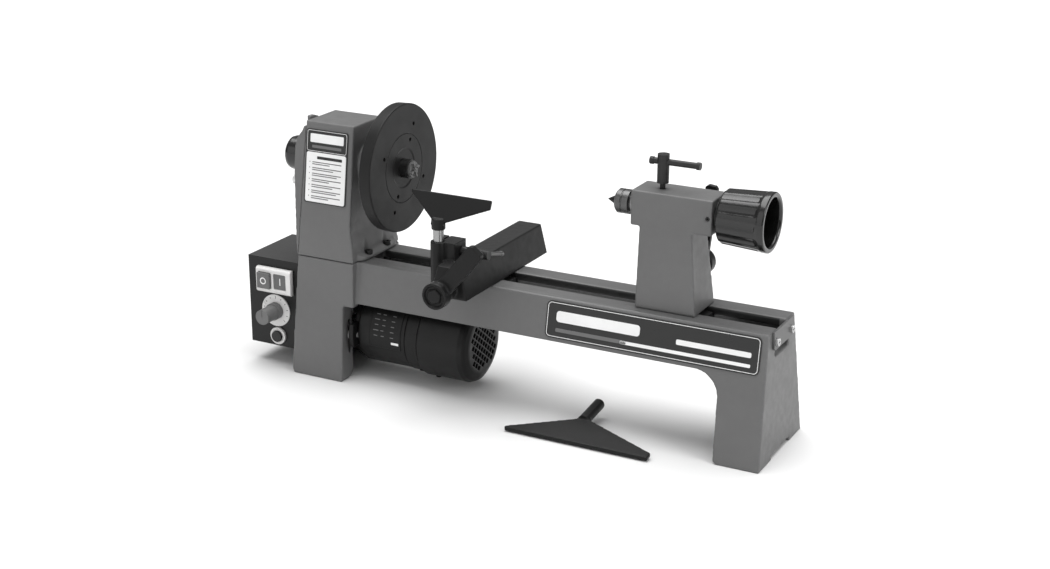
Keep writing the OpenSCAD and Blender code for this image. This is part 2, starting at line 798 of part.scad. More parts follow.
module motor_mid_ring() {
    from_left() color("#222222") difference() {
        union() {
            ring_x(motor_r - 0.8, motor_r - 5, motor_x[1], motor_x[2] - seat, motor_z);
            ring_x(motor_r + 0.8, motor_r - 5, motor_x[1] + 1.1, motor_x[2] - 1.2, motor_z);
            // web that carries the rear bearing
            rod_x(motor_r - 4, 146, motor_x[2] - seat, 0, motor_z);
            for (turn = [-150, -90, -30, 30, 150])
                rotate_about_motor(turn) rod_z(3.4, motor_r - 1, motor_r + 2, 151, 0);
        }
        rod_x(16 + fit, 145, 155.5, 0, motor_z);
        rod_x(9, 150, 160, 0, motor_z);
        // air holes in the web
        for (turn = [0:60:300])
            rotate_about_motor(turn) rod_x(6, 140, 160, 0, 27);
        for (turn = [-150, -90, -30, 30, 150])
            rotate_about_motor(turn) translate([151, 0, motor_r + 1])
                cylinder(r = 1.8, h = 3, $fn = 6);
    }
}

// Turns children drawn above the X axis around the motor's axis
module rotate_about_motor(turn) {
    translate([0, 0, motor_z]) rotate([turn, 0, 0]) children();
}

module motor_fan_cover() {
    from_left() color("#181818") difference() {
        union() {
            turned_x([[motor_x[2], 0], [motor_x[2], fan_cover_r - 1.4], [motor_x[2] + 1.4, fan_cover_r],
                [motor_x[3] - 6, fan_cover_r], [motor_x[3] - 0.8, fan_cover_r - 2.2],
                [motor_x[4] - 2.4, fan_cover_r - 6], [motor_x[4] - 0.4, fan_cover_r - 11],
                [motor_x[4], fan_cover_r - 13.5], [motor_x[4], 0]], motor_z);
            rod_z(3.4, 4, 12, 160.5, 0);
        }
        rod_x(fan_cover_r - 3.5, motor_x[2] - 1, motor_x[3] - 3, 0, motor_z);
        // diagonal grille, cut as square windows in a round field
        for (u = [-4:4], v = [-4:4])
            if (norm([u, v]) * grille_pitch < 29)
                translate([0, 0, motor_z]) rotate([52, 0, 0])
                    block([motor_x[3] - 5, motor_x[4] + 1],
                        [u * grille_pitch - grille_hole / 2, u * grille_pitch + grille_hole / 2],
                        [v * grille_pitch - grille_hole / 2, v * grille_pitch + grille_hole / 2]);
    }
}

module motor_end_bracket() {
    from_left() color("#202020") difference() {
        union() {
            rod_x(motor_r - 4, 68.5, motor_x[0], 0, motor_z);
            intersection() {
                block([68.5, motor_x[0]], [-52, 52], [42, 70]);
                rod_x(52, 60, 80, 0, motor_z);
            }
            rod_x(20, 62, 69, 0, motor_z);
        }
        rod_x(16 + fit, 64, 80, 0, motor_z);
        rod_x(9, 60, 80, 0, motor_z);
        both_sides() rod_x(3.2, 60, 80, motor_bolt[0], motor_bolt[1]);
    }
}

module motor_bolts() {
    from_left() color(steel) both_sides() {
        rod_x(3, 50, motor_x[0] - seat, motor_bolt[0], motor_bolt[1]);
        // head inside the column, and two washers between the flange and the motor
        translate([52.2, motor_bolt[0], motor_bolt[1]]) rotate([0, 90, 0])
            cylinder(r = 5.7, h = 4.6, $fn = 6);
        for (x = [63.6, 65.3]) rod_x(6.2, x, x + 1.4, motor_bolt[0], motor_bolt[1]);
    }
}

module motor_bearings() {
    from_left() color(steel) {
        race(16, motor_shaft_r + fit, 64.2, 73.8, motor_z);
        race(16, motor_shaft_r + fit, 146.2, 155.4, motor_z);
    }
}

module motor_shaft() {
    from_left() color(steel) rod_x(motor_shaft_r, 8, 196, 0, motor_z);
}

module motor_rotor() {
    from_left() color("sienna") difference() {
        union() {
            rod_x(33, 84, 128, 0, motor_z);
            rod_x(14, 131, 143, 0, motor_z);
            rod_x(9, 127, 132, 0, motor_z);
        }
        rod_x(motor_shaft_r + fit, 80, 160, 0, motor_z);
        for (turn = [0:30:330])
            rotate_about_motor(turn) block([83, 129], [-1.5, 1.5], [24, 34]);
    }
}

module motor_fan() {
    from_left() color("#444444") {
        ring_x(12, motor_shaft_r + fit, 180, 194, motor_z);
        ring_x(38, 11.9, 180, 182, motor_z);
        for (turn = [0:45:315])
            rotate_about_motor(turn) block([181.9, 193], [-1, 1], [11.8, 38]);
    }
}

module motor_label() {
    from_left() color("#2b2b2b") intersection() {
        ring_x(motor_r + 0.6, motor_r + 0.05, 92, 134, motor_z);
        block([90, 140], [-60, 0], [45, 95]);
    }
}

// ---- tool rest group ----

// A clamp lever: hub on the Y axis at the origin, arm along +Z, front at y = 0
module clamp_lever(length, shaft_r, arm_y, arm_half = 7.2, arm_t = 6) {
    difference() {
        union() {
            rod_y(15, 0, 13);
            along_y(arm_y, arm_y + arm_t) polygon([[-arm_half, 0], [arm_half, 0],
                [arm_half, length - 3], [arm_half - 3, length], [3 - arm_half, length],
                [-arm_half, length - 3]]);
        }
        rod_y(shaft_r + fit, 5, 30);
        // sunk ring in the hub's face around a hexagonal nut
        difference() {
            rod_y(12, -1, 3);
            translate([0, -2, 0]) rotate([-90, 0, 0]) cylinder(r = 8.6, h = 6, $fn = 6);
        }
    }
}

module banjo_shape() {
    intersection() {
        along_y(banjo_y[0], banjo_y[1]) translate([banjo_x, 0])
            taper(banjo_half[0], banjo_half[1], bed_h + seat, bed_h + banjo_h);
        // the back end leans in a little
        along_x(150, 320) polygon([[banjo_y[0], bed_h], [banjo_y[1], bed_h],
            [banjo_y[1] - 1, bed_h + banjo_h], [banjo_y[0] + 3, bed_h + banjo_h]]);
    }
}

module banjo_casting() {
    px = post_at[0];
    py = post_at[1];
    from_left() color(dark) difference() {
        union() {
            banjo_shape();
            rod_z(9.2, bed_h + 4, 202, px, py);
            block([px - 8, px + 20], [py, py + 26], [177, 201]);
            block([px - 2, px + 18], [py - 8, py + 26], [150, 178]);
            rod_y(11, banjo_y[0] - 14, banjo_y[0] + 20, banjo_x, banjo_cam_z);
        }
        block([100, 300], [-50, 110], [bed_h - 20, bed_h + seat]);
        // bore for the post, and the slit beside it
        rod_z(post_r + fit, 152, 210, px, py);
        block([px - 1, px + 1], [py, py + 27], [181, 210]);
        // lock screw: clearance on the right, thread on the left
        rod_x(3 + fit, px - 20, px + 30, py + 16, 189);
        // chamber in which the eye bolt slides, and the clamp shaft's bores
        block([banjo_x - 10.5, banjo_x + 10.5], [-47, 47], [bed_h - 5, 170]);
        rod_y(7 + fit, banjo_y[0] - 20, 66, banjo_x, banjo_cam_z);
    }
}

module banjo_cam_shaft() {
    from_left() color(steel) union() {
        rod_y(7, -126.4, -48, banjo_x, banjo_cam_z);
        rod_y(6.4, -48.1, 48.1, banjo_x + 0.5, banjo_cam_z);
        rod_y(7, 48, 65, banjo_x, banjo_cam_z);
    }
}

module banjo_lever() {
    from_left() color(dark) translate([banjo_x, -131.5, banjo_cam_z]) rotate([0, 40, 0])
        clamp_lever(74, 7, 8, 9.6, 8);
}

// An eye bolt that hangs from a clamp shaft at (x, 0, z_eye) down through a rail slot
module eye_bolt(x, z_eye, eye_r, bore_r) {
    difference() {
        union() {
            rod_y(eye_r, -5, 5, x, z_eye);
            rod_z(4, clamp_z - 9, z_eye - bore_r - 0.5, x, 0);
        }
        rod_y(bore_r, -6, 6, x, z_eye);
    }
    difference() {
        translate([x, 0, clamp_z - 7]) cylinder(r = 7.5, h = 7 - seat, $fn = 6);
        rod_z(4 + fit, clamp_z - 8, clamp_z, x, 0);
    }
}

// A clamp plate under the rails with a tongue that runs in the slot
module clamp_plate(x, half_l) {
    difference() {
        union() {
            block([x - half_l, x + half_l], [-20, 20], [clamp_z, rail_low - 0.9]);
            block([x - half_l, x + half_l], [-slot_w / 2 + 0.4, slot_w / 2 - 0.4],
                [rail_low - 1, rail_low + 4]);
        }
        rod_z(4.3, clamp_z - 1, rail_low + 5, x, 0);
    }
}

module banjo_eye_bolt() {
    from_left() color(steel) eye_bolt(banjo_x, banjo_cam_z, 10, 7.2);
}

module banjo_clamp_plate() {
    from_left() color(dark) clamp_plate(banjo_x, 24);
}

// A rest plate: straight top edge from -left to right of the post, narrowing to a socket
module rest_plate(left, right, drop, thick) {
    along_y(-thick / 2, thick / 2) polygon([[-left, 0], [right, 0], [right, -10], [7.8, -drop - 2],
        [7.8, -drop - 6], [-7.8, -drop - 6], [-7.8, -drop], [-left, -3.5]]);
}

module tool_rest() {
    lean = atan(rest_lean / rest_drop);
    from_left() color(dark) translate([post_at[0], post_at[1], 0]) difference() {
        union() {
            translate([0, rest_lean, rest_z]) rotate([-lean, 0, 0])
                rest_plate(39.2, 60.3, norm([rest_lean, rest_drop]), 5);
            rod_z(7.8, rest_z - rest_drop - 10, rest_z - rest_drop + 3);
        }
        rod_z(post_r + fit, rest_z - rest_drop - 20, rest_z - rest_drop + 0.05);
    }
}

module tool_rest_post() {
    from_left() color(steel) rod_z(post_r, 164, rest_z - rest_drop, post_at[0], post_at[1]);
}

module post_lock_screw() {
    x = post_at[0];
    from_left() color(dark) difference() {
        union() {
            rod_x(3, x - 9, x + 24, lock_y, lock_z);
            rod_x(5.5, x + 21, lock_bar_x + 7, lock_y, lock_z);
        }
        translate([lock_bar_x, lock_y, lock_z]) rotate([-105, 0, 0]) translate([0, 0, -20])
            cylinder(r = 2.6, h = 40);
    }
}

module post_lock_bar() {
    from_left() color(steel) translate([lock_bar_x, lock_y, lock_z]) rotate([-105, 0, 0])
        t_bar(2.55, -16, 44, 3.1);
}

// A sliding bar along Z with a small round knob at each end
module t_bar(r, low, high, knob_r) {
    translate([0, 0, low]) cylinder(r = r, h = high - low);
    translate([0, 0, low]) cylinder(r = knob_r, h = 4);
    translate([0, 0, high - 4]) cylinder(r = knob_r, h = 4);
}

module spare_tool_rest() {
    from_left() color(dark) translate([376, -97, 3]) union() {
        rotate([-80, 0, 0]) mirror([0, 0, 1]) rest_plate(76, 96, 44, 5);
        translate([0, 44, 8.3]) rotate([-83, 0, 0]) cylinder(r = 6.6, h = 42);
    }
}

// ---- tailstock ----

module tailstock_casting() {
    x0 = tail_x[0];
    x1 = tail_x[1];
    zb = spindle_z - 18.7;
    from_left() color(paint) difference() {
        union() {
            block([x0, x1], [-tail_half, tail_half], [zb, spindle_z + 20.3]);
            intersection() {
                along_y(-40, 40) polygon([[x0 + 11, bed_h + seat], [x0 + 10.5, zb + 1], [x0 + 71, zb + 1],
                    [x0 + 81, bed_h + seat]]);
                along_x(400, 520) taper(29, tail_half, bed_h, zb + 1);
            }
        }
        // quill bore, key screw and lock screw
        rod_x(quill_r + fit, x0 - 1, x1 + 1, 0, spindle_z);
        rod_y(2.5, -tail_half - 1, -quill_r + 2, x1 - 5, spindle_z);
        rod_z(3 + fit, spindle_z, spindle_z + 22, quill_lock_x, 0);
        // chamber for the eye bolt and the clamp shaft's bore from the back
        block([tail_cam[0] - 14, tail_cam[0] + 11], [-13, 13], [bed_h - 5, tail_cam_z + 16]);
        rod_y(8 + fit, -18, 40, tail_cam[0], tail_cam_z);
        block([430, tail_cam[0] - 20], [-16, 16], [bed_h - 5, tail_cam_z + 30]);
    }
}

module tailstock_quill() {
    x0 = quill_x[0];
    x1 = quill_x[1];
    from_left() color(steel) difference() {
        rod_x(quill_r, x0, x1, 0, spindle_z);
        cone_x(mt_r + 0.03, mt_r - 32 * mt_slope, x0 - 0.01, x0 + 32, 0, spindle_z);
        rod_x(screw_r + 0.3, 440, x1 + 1, 0, spindle_z);
        rod_x(4, 430, 445, 0, spindle_z);
        // keyway for the key screw
        block([452, x1 + 1], [-quill_r - 1, -quill_r + 2.6], [spindle_z - 2.6, spindle_z + 2.6]);
    }
}

module tailstock_leadscrew() {
    from_left() color(steel) union() {
        rod_x(screw_r, 442, 535, 0, spindle_z);
        rod_x(9, 510.2, 513.6, 0, spindle_z);
    }
}

module leadscrew_bush() {
    x1 = tail_x[1];
    from_left() color("#2a2a2a") difference() {
        union() {
            rod_x(17, x1 + seat, x1 + 5, 0, spindle_z);
            rod_x(quill_r, x1 - 2.5, x1 + 1, 0, spindle_z);
        }
        rod_x(screw_r + fit, x1 - 5, x1 + 6, 0, spindle_z);
    }
}

module tailstock_handwheel() {
    lobes = 12;
    flute_r = 14;
    flute_depth = 1.5;
    x0 = wheel_x[0];
    x1 = wheel_x[1];
    slope = atan((wheel_r[1] - wheel_r[0]) / (x1 - x0));
    from_left() color("#1b1b1b") difference() {
        turned_x([[x0, 0], [x0, wheel_r[0] - 3], [x0 + 2, wheel_r[0]], [x1 - 8, wheel_r[1] - 0.5],
            [x1 - 7, wheel_r[1]], [x1 - 1, wheel_r[1]], [x1, wheel_r[1] - 1], [x1, wheel_r[1] - 5],
            [x1 - 2, wheel_r[1] - 6.4], [x0 + 20, wheel_r[0] - 6], [x0 + 18, 0]], spindle_z);
        rod_x(screw_r + fit, x0 - 1, x0 + 30, 0, spindle_z);
        rod_x(9.3, x0 - 1, x0 + 3.5, 0, spindle_z);
        // shallow hollows for the fingers
        for (i = [0:lobes - 1])
            translate([0, 0, spindle_z]) rotate([i * 360 / lobes, 0, 0])
                translate([x0 - 1, 0, wheel_r[0] + flute_r - flute_depth]) rotate([0, 90 - slope, 0])
                    cylinder(r = flute_r, h = x1 - x0 - 9);
    }
}

module quill_key_screw() {
    from_left() color("#222222") difference() {
        rod_y(2.45, -tail_half + 1, -quill_r + 2.2, tail_x[1] - 5, spindle_z);
        translate([tail_x[1] - 5, -tail_half + 0.5, spindle_z]) rotate([-90, 0, 0])
            cylinder(r = 1.3, h = 3, $fn = 6);
    }
}

module quill_lock_screw() {
    from_left() color("#2c2c2c") difference() {
        union() {
            rod_z(3, spindle_z + quill_r + 0.3, 282, quill_lock_x, 0);
            rod_z(6.5, 281, 312.5, quill_lock_x, 0);
        }
        rod_x(3.5, quill_lock_x - 10, quill_lock_x + 10, 0, quill_bar_z);
    }
}

module quill_lock_bar() {
    from_left() color("#3c3c3c") translate([quill_lock_x, 0, quill_bar_z]) rotate([0, 90, 0])
        t_bar(3.45, -15, 42.5, 4.2);
}

module live_centre_body() {
    from_left() color(steel) difference() {
        union() {
            turned_x([[388, 0], [388, 11.5], [390, 13.5], [395, 13.5], [395.6, 12.9], [396.4, 12.9],
                [397, 13.5], [404, 13.5], [404, 10], [406.8, 10], [406.8, 0]], spindle_z);
            cone_x(mt_r - 0.04, mt_r - 0.04 - 30 * mt_slope, 406, 436, 0, spindle_z);
        }
        rod_x(6 + fit, 387, 402, 0, spindle_z);
    }
}

module live_centre_tip() {
    from_left() color(steel) {
        turned_x([[376, 0], [376, 0.25], [386.4, 6], [387.6, 7.5], [387.6, 6], [401.5, 6], [401.5, 0]],
            spindle_z);
    }
}

module tailstock_cam_shaft() {
    x = tail_cam[0];
    from_left() color(steel) union() {
        rod_y(8, -17, -12.5, x, tail_cam_z);
        rod_y(7.4, -12.6, 13.6, x + 0.5, tail_cam_z);
        rod_y(8, 13.5, 47.9, x, tail_cam_z);
    }
}

module tailstock_lever() {
    from_left() color(dark) translate([tail_cam[0], 53, tail_cam_z]) mirror([0, 1, 0]) rotate([0, 6, 0])
        clamp_lever(89, 8, 3);
}

module tailstock_eye_bolt() {
    from_left() color(steel) eye_bolt(tail_cam[0], tail_cam_z, 10.5, 8.2);
}

module tailstock_clamp_plate() {
    from_left() color(dark) clamp_plate(tail_cam[0], 28);
}

bed_casting();
bed_end_plate();
cover_screws();
rubber_feet();
bed_label();
headstock_casting();
headstock_bolts();
headstock_label();
belt_cover();
control_box();
switch_bezel();
stop_button();
start_button();
speed_dial();
speed_knob();
reset_collar();
reset_button();
speed_circuit_board();
spindle_shaft();
spindle_bearings();
spindle_pulley();
spindle_handwheel();
faceplate();
drive_centre();
drive_belt();
motor_case();
motor_mid_ring();
motor_fan_cover();
motor_end_bracket();
motor_bolts();
motor_shaft();
motor_rotor();
motor_fan();
motor_bearings();
motor_pulley();
motor_label();
banjo_casting();
banjo_cam_shaft();
banjo_lever();
banjo_eye_bolt();
banjo_clamp_plate();
tool_rest();
tool_rest_post();
post_lock_screw();
post_lock_bar();
spare_tool_rest();
tailstock_casting();
tailstock_quill();
tailstock_leadscrew();
tailstock_handwheel();
leadscrew_bush();
quill_key_screw();
quill_lock_screw();
quill_lock_bar();
live_centre_body();
live_centre_tip();
tailstock_cam_shaft();
tailstock_lever();
tailstock_eye_bolt();
tailstock_clamp_plate();
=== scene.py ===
"""Looks of the bench-top wood lathe: moulded castings, finishes, label films and the studio."""
import json
import math

import bpy
from mathutils import Matrix, Vector


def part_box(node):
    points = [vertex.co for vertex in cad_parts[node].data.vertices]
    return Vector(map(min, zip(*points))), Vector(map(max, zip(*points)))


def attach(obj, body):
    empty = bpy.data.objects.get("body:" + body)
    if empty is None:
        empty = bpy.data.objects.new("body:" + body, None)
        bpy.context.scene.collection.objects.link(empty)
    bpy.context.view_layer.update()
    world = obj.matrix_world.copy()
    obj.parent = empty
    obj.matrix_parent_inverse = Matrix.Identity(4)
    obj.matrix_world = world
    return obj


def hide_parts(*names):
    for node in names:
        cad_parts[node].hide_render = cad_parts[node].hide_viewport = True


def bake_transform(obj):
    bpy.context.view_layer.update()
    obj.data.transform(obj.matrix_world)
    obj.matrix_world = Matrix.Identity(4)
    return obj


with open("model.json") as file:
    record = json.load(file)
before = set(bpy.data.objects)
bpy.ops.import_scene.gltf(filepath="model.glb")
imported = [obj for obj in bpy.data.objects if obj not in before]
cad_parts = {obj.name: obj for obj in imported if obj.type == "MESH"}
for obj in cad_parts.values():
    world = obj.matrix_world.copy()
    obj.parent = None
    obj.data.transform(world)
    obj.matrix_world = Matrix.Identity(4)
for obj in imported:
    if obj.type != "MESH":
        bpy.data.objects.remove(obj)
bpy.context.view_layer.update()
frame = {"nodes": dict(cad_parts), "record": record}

MM = 0.001
nodes = frame["nodes"]
record = frame["record"]
body_of = {node: body for body, group in record["behaviour"]["bodies"].items() for node in group}
slot_of = {row["node"]: row["material_slot"] for row in record["subparts"]}


def middle(node):
    """Centre of a CAD node's box."""
    low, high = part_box(node)
    return (low + high) / 2


# ---- finishes ----

def grey(value, warmth=0.0):
    return (value * (1 + warmth), value, value * (1 - warmth), 1.0)


def shade(colour, factor):
    return tuple(min(1.0, c * factor) for c in colour[:3]) + (1.0,)


class Nodes:
    """Adds nodes to a tree and feeds their inputs with values or with other nodes' outputs."""

    def __init__(self, tree):
        self.tree = tree

    def node(self, kind, inputs=None, **settings):
        made = self.tree.nodes.new(kind)
        for key, value in settings.items():
            setattr(made, key, value)
        for key, value in (inputs or {}).items():
            self.feed(made.inputs[key], value)
        return made

    def feed(self, socket, value):
        if isinstance(value, bpy.types.NodeSocket):
            self.tree.links.new(value, socket)
        else:
            socket.default_value = value

    def math(self, operation, a, b=0.0):
        return self.node("ShaderNodeMath", {0: a, 1: b}, operation=operation).outputs[0]

    def span(self, value, low, high, start=0.3, end=0.7):
        """The value's stretch from start to end, spread over low to high."""
        made = self.node("ShaderNodeMapRange", {"Value": value, "From Min": start, "From Max": end,
                                                "To Min": low, "To Max": high})
        return made.outputs[0]


class Finish(Nodes):
    """A node material: a Principled surface fed by noise in the object's own coordinates."""

    def __init__(self, name, edge_radius=None):
        self.material = bpy.data.materials.new(name)
        self.material.use_nodes = True
        super().__init__(self.material.node_tree)
        self.place = self.node("ShaderNodeTexCoord").outputs["Object"]
        self.normal = self.node("ShaderNodeNewGeometry").outputs["Normal"]
        if edge_radius:
            self.round_edges(edge_radius)

    def round_edges(self, radius):
        """Turns the normal softly over the edges, and makes a mask that is 1 on them."""
        self.normal = self.node("ShaderNodeBevel", {"Radius": radius}, samples=6).outputs[0]
        flat = self.node("ShaderNodeNewGeometry").outputs["True Normal"]
        facing = self.node("ShaderNodeVectorMath", {0: self.normal, 1: flat},
                           operation="DOT_PRODUCT").outputs["Value"]
        self.edge = self.span(facing, 1.0, 0.0, start=0.88, end=0.995)

    def noise(self, size, stretch=(1, 1, 1), detail=2.0):
        """Noise whose blotches measure about size in metres, longer along an axis by stretch."""
        scale = Vector([1 / (size * s) for s in stretch])
        mapped = self.node("ShaderNodeMapping", {"Vector": self.place, "Scale": scale})
        return self.node("ShaderNodeTexNoise", {"Vector": mapped.outputs[0], "Scale": 1.0,
                                                "Detail": detail}).outputs[0]

    def mix(self, factor, a, b):
        made = self.node("ShaderNodeMix", data_type="RGBA")
        for key, value in (("Factor", factor), ("A", a), ("B", b)):
            self.feed(made.inputs[key], value)
        return made.outputs["Result"]

    def shades(self, colour, low, high, noise):
        """A colour that goes from its darker to its lighter shade with the noise."""
        return self.mix(self.span(noise, 0.0, 1.0), shade(colour, low), shade(colour, high))

    def chipped(self, base, under, size, detail, most, start, end):
        """Shows what is under a coat in small chips on its edges; start and end set how many."""
        chips = self.span(self.noise(size, detail=detail), 0.0, most, start, end)
        return self.mix(self.math("MULTIPLY", self.edge, chips), base, under)

    def rubbed(self, base, under, share):
        """Mixes in what is under the surface, evenly along its edges."""
        return self.mix(self.math("MULTIPLY", self.edge, share), base, under)

    def facing_up(self):
        """1 on faces that look up, 0 elsewhere."""
        normal = self.node("ShaderNodeNewGeometry").outputs["Normal"]
        upward = self.node("ShaderNodeSeparateXYZ", {0: normal}).outputs[2]
        return self.math("GREATER_THAN", upward, 0.8)

    def bump(self, height, depth):
        made = self.node("ShaderNodeBump", {"Height": height, "Distance": depth, "Strength": 1.0,
                                            "Normal": self.normal})
        self.normal = made.outputs[0]

    def done(self, colour, roughness, metallic=0.0, specular=0.5, coat=0.0):
        surface = self.tree.nodes["Principled BSDF"]
        for key, value in (("Base Color", colour), ("Roughness", roughness),
                           ("Normal", self.normal), ("Metallic", metallic),
                           ("Specular IOR Level", specular), ("Coat Weight", coat)):
            self.feed(surface.inputs[key], value)
        return self.material


def paint(name, colour, roughness=0.42, peel=1.4 * MM, depth=0.035 * MM, wear=0.5, specular=0.5,
          dress=None):
    """Paint on a casting: undulations of the sand mould, orange peel, and thin spots on edges."""
    f = Finish(name, edge_radius=1.6 * MM)
    blotch = f.noise(70 * MM, detail=3.0)
    dust = f.noise(9 * MM, detail=4.0)
    base = f.mix(0.35, f.shades(colour, 0.93, 1.07, blotch), f.shades(colour, 0.9, 1.1, dust))
    base = f.chipped(base, shade(colour, 1.9), 2.2 * MM, 5.0, wear, 0.5, 0.62)
    if dress:
        base = dress(f, base)
    f.bump(f.noise(14 * MM, detail=1.0), 0.22 * MM)
    f.bump(f.noise(peel), depth)
    return f.done(base, f.span(dust, roughness - 0.05, roughness + 0.08), specular=specular)


def bed_surfaces(f, base):
    """The bed's rails are ground bright on top, and the inside of its slot is made near-black as
    painted shade.
    """
    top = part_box("bed_casting")[1].z
    skin = 0.8 * MM
    slot_half_width = 15.2 * MM
    slot_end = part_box("bed_end_plate")[0].x - 8 * MM
    slot_top, slot_bottom = top - 0.6 * MM, top - 60 * MM
    x, y, z = f.node("ShaderNodeSeparateXYZ", {0: f.place}).outputs
    rail_top = f.math("MULTIPLY", f.math("GREATER_THAN", z, top - skin), f.facing_up())
    streaks = f.noise(0.8 * MM, stretch=(70, 1, 1), detail=3.0)
    base = f.mix(rail_top, base, f.shades(grey(0.1), 0.85, 1.15, streaks))
    # painted shade: the slot's walls and floor get a near-black colour where little light reaches
    inside = f.math("LESS_THAN", f.math("ABSOLUTE", y), slot_half_width)
    for limit in (f.math("LESS_THAN", x, slot_end), f.math("LESS_THAN", z, slot_top),
                  f.math("GREATER_THAN", z, slot_bottom)):
        inside = f.math("MULTIPLY", inside, limit)
    return f.mix(inside, base, grey(0.012))


def painted_top_sheen(level):
    """Painted sheen: faces that look up get a paler colour that stands in for light on the tops.
    """
    def dress(f, base):
        # painted sheen: the upward faces are mixed towards a paler grey
        return f.mix(f.facing_up(), base, grey(level))
    return dress


def powder_coat(name, colour, dress):
    """Fine-textured black powder coat on sheet metal."""
    f = Finish(name, edge_radius=1.0 * MM)
    dust = f.noise(30 * MM, detail=4.0)
    base = f.shades(colour, 0.85, 1.2, dust)
    base = dress(f, f.chipped(base, shade(colour, 2.5), 3 * MM, 4.0, 0.5, 0.5, 0.65))
    f.bump(f.noise(0.9 * MM, detail=3.0), 0.05 * MM)
    return f.done(base, f.span(dust, 0.36, 0.46), specular=0.3)


def turned_steel(name, colour, stretch, roughness=0.28, line=0.25 * MM):
    """Turned or ground steel: fine lines around the piece, and a few marks."""
    f = Finish(name, edge_radius=0.35 * MM)
    lines = f.noise(line, stretch=stretch, detail=3.0)
    smear = f.noise(11 * MM, detail=4.0)
    base = f.mix(f.span(lines, 0.0, 0.45), colour, shade(colour, 0.72))
    base = f.rubbed(base, shade(colour, 1.3), 0.3)
    rough = f.math("ADD", f.span(smear, roughness - 0.06, roughness + 0.1),
                   f.span(lines, 0.0, 0.06))
    f.bump(lines, 0.012 * MM)
    return f.done(base, rough, metallic=1.0)


def black_oxide(name, colour, roughness=0.4):
    """Blackened steel with an oily sheen that shows metal at its corners."""
    f = Finish(name, edge_radius=0.5 * MM)
    smear = f.noise(7 * MM, detail=4.0)
    base = f.shades(colour, 0.75, 1.3, smear)
    base = f.chipped(base, grey(0.16), 1.5 * MM, 3.0, 0.6, 0.45, 0.62)
    f.bump(f.noise(0.6 * MM), 0.012 * MM)
    return f.done(base, f.span(smear, roughness - 0.08, roughness + 0.1), metallic=0.25,
                  specular=0.4)


def faced_iron(name, colour, axis_z):
    """Blackened iron faced on a lathe: fine rings around the spindle."""
    f = Finish(name, edge_radius=0.6 * MM)
    ring_pitch = 0.35 * MM
    _, y, z = f.node("ShaderNodeSeparateXYZ", {0: f.place}).outputs
    height = f.math("SUBTRACT", z, axis_z)
    radius = f.math("SQRT", f.math("ADD", f.math("MULTIPLY", y, y),
                                   f.math("MULTIPLY", height, height)))
    rings = f.node("ShaderNodeTexNoise", {"W": f.math("MULTIPLY", radius, 1 / ring_pitch),
                                          "Scale": 1.0, "Detail": 2.0},
                   noise_dimensions="1D").outputs[0]
    smear = f.noise(22 * MM, detail=4.0)
    base = f.mix(f.span(rings, 0.0, 0.25), f.shades(colour, 0.85, 1.15, smear), shade(colour, 1.5))
    base = f.chipped(base, shade(colour, 3.0), 2 * MM, 3.0, 0.6, 0.42, 0.6)
    f.bump(rings, 0.012 * MM)
    return f.done(base, f.span(smear, 0.4, 0.52), metallic=0.15, specular=0.2)


def moulded(name, colour, roughness=0.4, coat=0.0):
    """Moulded plastic: very fine grain, slight cloudiness and polished corners."""
    f = Finish(name, edge_radius=0.6 * MM)
    cloud = f.noise(16 * MM, detail=3.0)
    base = f.rubbed(f.shades(colour, 0.93, 1.06, cloud), shade(colour, 1.35), 0.25)
    rough = f.math("SUBTRACT", f.span(cloud, roughness - 0.04, roughness + 0.07),
                   f.math("MULTIPLY", f.edge, 0.08))
    f.bump(f.noise(0.5 * MM), 0.01 * MM)
    return f.done(base, rough, coat=coat)


def film(name, colour):
    """Printed label film: smooth, with a faint ripple from the surface under it."""
    f = Finish(name, edge_radius=0.25 * MM)
    cloud = f.noise(25 * MM, detail=4.0)
    base = f.rubbed(f.shades(colour, 0.95, 1.04, cloud), shade(colour, 0.7), 0.3)
    f.bump(f.noise(5 * MM, detail=1.0), 0.02 * MM)
    return f.done(base, f.span(cloud, 0.27, 0.40))


def rubber(name, colour):
    """Matt black rubber with a dusty bloom."""
    f = Finish(name, edge_radius=0.5 * MM)
    bloom = f.noise(6 * MM, detail=5.0)
    base = f.rubbed(f.shades(colour, 0.8, 1.5, bloom), shade(colour, 1.8), 0.3)
    f.bump(f.noise(0.8 * MM), 0.03 * MM)
    return f.done(base, f.span(bloom, 0.7, 0.9), specular=0.25)


def circuit_board(name, colour):
    """Solder mask with tinned tracks under it."""
    f = Finish(name, edge_radius=0.3 * MM)
    tracks_per_metre = 260
    mapped = f.node("ShaderNodeMapping", {"Vector": f.place,
                                          "Scale": Vector((1, 1, 1)) * tracks_per_metre,
                                          "Rotation": Vector((math.pi / 2, 0, 0))})
    tracks = f.node("ShaderNodeTexBrick", {"Vector": mapped.outputs[0], "Scale": 1.0,
                                           "Mortar Size": 0.06}).outputs["Fac"]
    base = f.rubbed(f.mix(tracks, colour, shade(colour, 2.2)), grey(0.3), 0.4)
    f.bump(tracks, 0.04 * MM)
    return f.done(base, f.span(f.noise(9 * MM), 0.3, 0.45))


def winding(name, colour):
    """Varnished copper wire and thin laminations."""
    f = Finish(name, edge_radius=0.3 * MM)
    lines = f.noise(0.7 * MM, stretch=(1, 30, 30))
    base = f.rubbed(f.shades(colour, 0.6, 1.2, lines), shade(colour, 1.6), 0.4)
    f.bump(lines, 0.1 * MM)
    return f.done(base, f.span(f.noise(8 * MM), 0.3, 0.5), metallic=0.8)


